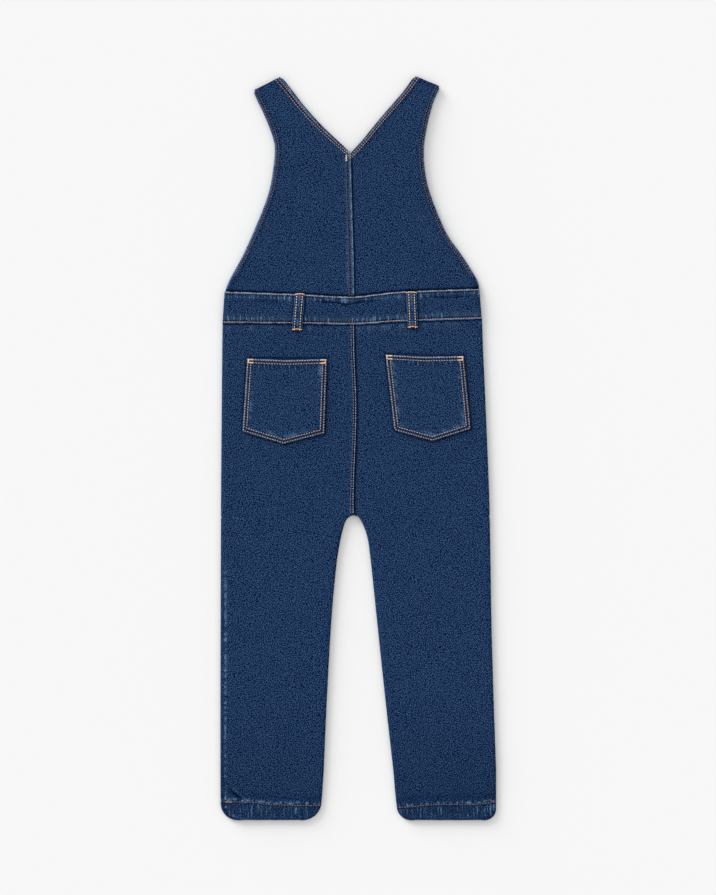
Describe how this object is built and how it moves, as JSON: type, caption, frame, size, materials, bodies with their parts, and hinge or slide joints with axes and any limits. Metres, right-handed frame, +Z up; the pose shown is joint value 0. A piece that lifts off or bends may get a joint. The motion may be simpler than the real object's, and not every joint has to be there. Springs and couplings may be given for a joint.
{
  "type": "kids dungarees",
  "caption": "Child's denim dungarees laid flat with the back up: V-neck bodice with straps cut in one, waistband with belt loops, patch pockets and straight legs.",
  "frame": {"origin": "on the surface that the garment lies on, under the middle of its outline", "axes": "+Y from the hems to the shoulders, +Z up out of the garment's back, +X towards the right-hand leg as seen from above with the shoulders away from the viewer"},
  "size_m": [0.3314, 0.8907, 0.0093],
  "materials": {
    "denim": "dark indigo twill, rinsed, slightly worn at the seams",
    "pocket_denim": "the same indigo twill, a little lighter",
    "thread": "tan to orange topstitching thread",
    "button": "dark horn effect, satin"
  },
  "bodies": {
    "root": {"back_bodice_left": "denim", "back_bodice_right": "denim", "waistband_back": "denim", "back_leg_left": "denim", "back_leg_right": "denim", "pocket_left": "pocket_denim", "pocket_right": "pocket_denim", "belt_loop_left": "denim", "belt_loop_right": "denim", "front_bib": "denim", "waistband_front": "denim", "front_leg_left": "denim", "front_leg_right": "denim", "button_left": "button", "button_right": "button"}
  },
  "joints": []
}
